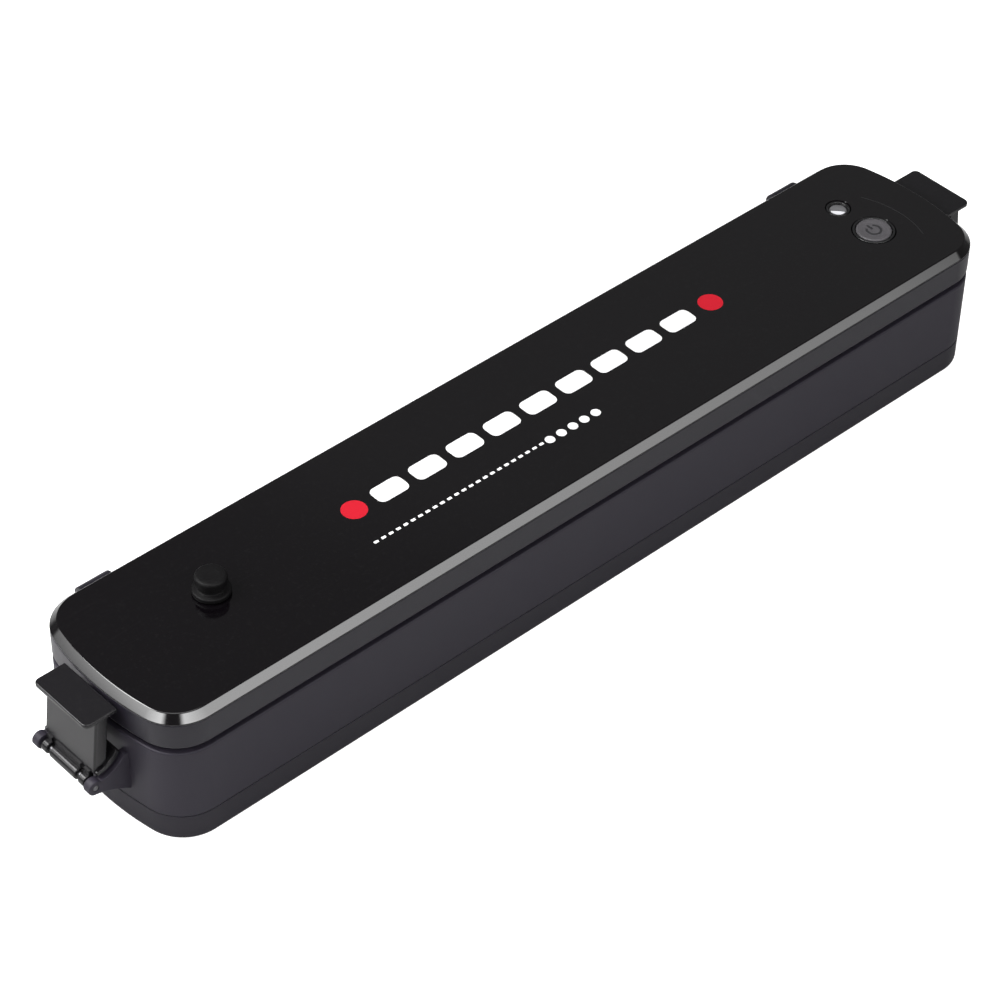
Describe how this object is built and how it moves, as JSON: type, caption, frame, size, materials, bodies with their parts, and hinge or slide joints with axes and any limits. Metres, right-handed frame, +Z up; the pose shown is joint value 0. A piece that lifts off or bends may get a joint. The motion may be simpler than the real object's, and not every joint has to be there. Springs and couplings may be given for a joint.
{
  "type": "vacuum sealer",
  "caption": "Slim countertop sealer for food bags: long housing with vacuum chamber and heating bar, hinged lid, end latch levers, start button and release valve.",
  "frame": {"origin": "on the table, in the middle of the outer box (feet stand at z = 0)", "axes": "+X along the length to the end with the start button, -Y to the front where the bag goes in, +Y to the hinges, +Z up"},
  "size_m": [0.388, 0.0742, 0.06],
  "materials": {
    "housing_plastic": "fine satin texture",
    "base_plastic": "fine matte texture",
    "lid_plastic": "satin",
    "gloss_panel": "polished black",
    "latch_plastic": "satin",
    "button_plastic": "satin",
    "window_plastic": "clear to milky",
    "dark_plastic": "moulded",
    "black_rubber": "matte",
    "gasket_foam": "closed-cell foam",
    "red_silicone": "matte silicone",
    "clear_silicone": "translucent silicone",
    "steel": "plain bright",
    "heating_metal": "rolled strip",
    "tape_cloth": "glass cloth with a slippery coating",
    "heat_block": "pressed phenolic",
    "circuit_board": "solder mask",
    "winding": "enamelled copper wire",
    "wire_jacket": "flexible jacket"
  },
  "bodies": {
    "housing": {"base_cover": "base_plastic", "foot_front_left": "black_rubber", "foot_front_right": "black_rubber", "foot_rear_left": "black_rubber", "foot_rear_right": "black_rubber", "base_screw_front_left": "steel", "base_screw_front_right": "steel", "base_screw_rear_left": "steel", "base_screw_rear_right": "steel", "body_shell": "housing_plastic", "deck_plate": "housing_plastic", "chamber_tray": "housing_plastic", "lower_gasket": "gasket_foam", "seal_bar_base": "heat_block", "heating_strip": "heating_metal", "seal_tape": "tape_cloth", "suction_nozzle": "dark_plastic", "power_board": "circuit_board", "transformer": "winding", "capacitor": "dark_plastic", "inlet_socket": "dark_plastic", "vacuum_hose": "clear_silicone", "heater_lead_left": "wire_jacket", "heater_lead_right": "wire_jacket", "hinge_pin_left": "steel", "hinge_pin_right": "steel", "latch_axle_left": "steel", "latch_axle_right": "steel", "motor_can": "steel", "motor_end_cap": "dark_plastic", "pump_housing": "dark_plastic", "pump_diaphragm": "black_rubber", "pump_head": "dark_plastic", "motor_saddle": "black_rubber"},
    "lid": {"lid_frame": "lid_plastic", "lid_top_panel": "gloss_panel", "lid_inner_cover": "lid_plastic", "upper_gasket": "gasket_foam", "pressure_strip": "red_silicone", "lid_screw_front_left": "steel", "lid_screw_front_right": "steel", "lid_screw_rear_left": "steel", "lid_screw_rear_right": "steel", "button_bezel": "latch_plastic", "indicator_window": "window_plastic", "control_board": "circuit_board", "tact_switch": "steel", "indicator_light": "window_plastic", "valve_seat": "clear_silicone"},
    "start_button": {"button_cap": "button_plastic"},
    "release_valve": {"valve_knob": "black_rubber"},
    "latch_left": {"latch_lever_left": "latch_plastic", "latch_hook_left": "steel"},
    "latch_right": {"latch_lever_right": "latch_plastic", "latch_hook_right": "steel"},
    "motor_rotor": {"motor_shaft": "steel", "motor_armature": "winding", "pump_eccentric": "heat_block"}
  },
  "joints": [
    {"name": "lid_hinge", "type": "hinge", "parent": "housing", "child": "lid", "pos_m": [0, 0.03322, 0.043], "axis": [-1, 0, 0], "range_deg": [0, 100]},
    {"name": "latch_left_pivot", "type": "hinge", "parent": "housing", "child": "latch_left", "pos_m": [-0.1914, -0.00337, 0.024], "axis": [0, -1, 0], "range_deg": [0, 85]},
    {"name": "latch_right_pivot", "type": "hinge", "parent": "housing", "child": "latch_right", "pos_m": [0.1914, -0.00337, 0.024], "axis": [0, 1, 0], "range_deg": [0, 85]},
    {"name": "button_press", "type": "slide", "parent": "lid", "child": "start_button", "axis": [0, 0, -1], "range_m": [0, 0.0008], "stiffness_N_per_m": 1500, "springref_m": -0.0002},
    {"name": "valve_pull", "type": "slide", "parent": "lid", "child": "release_valve", "axis": [0, 0, 1], "range_m": [0, 0.003]},
    {"name": "motor_spin", "type": "hinge", "parent": "housing", "child": "motor_rotor", "pos_m": [-0.09, -0.00137, 0.0144], "axis": [1, 0, 0], "continuous": true}
  ]
}
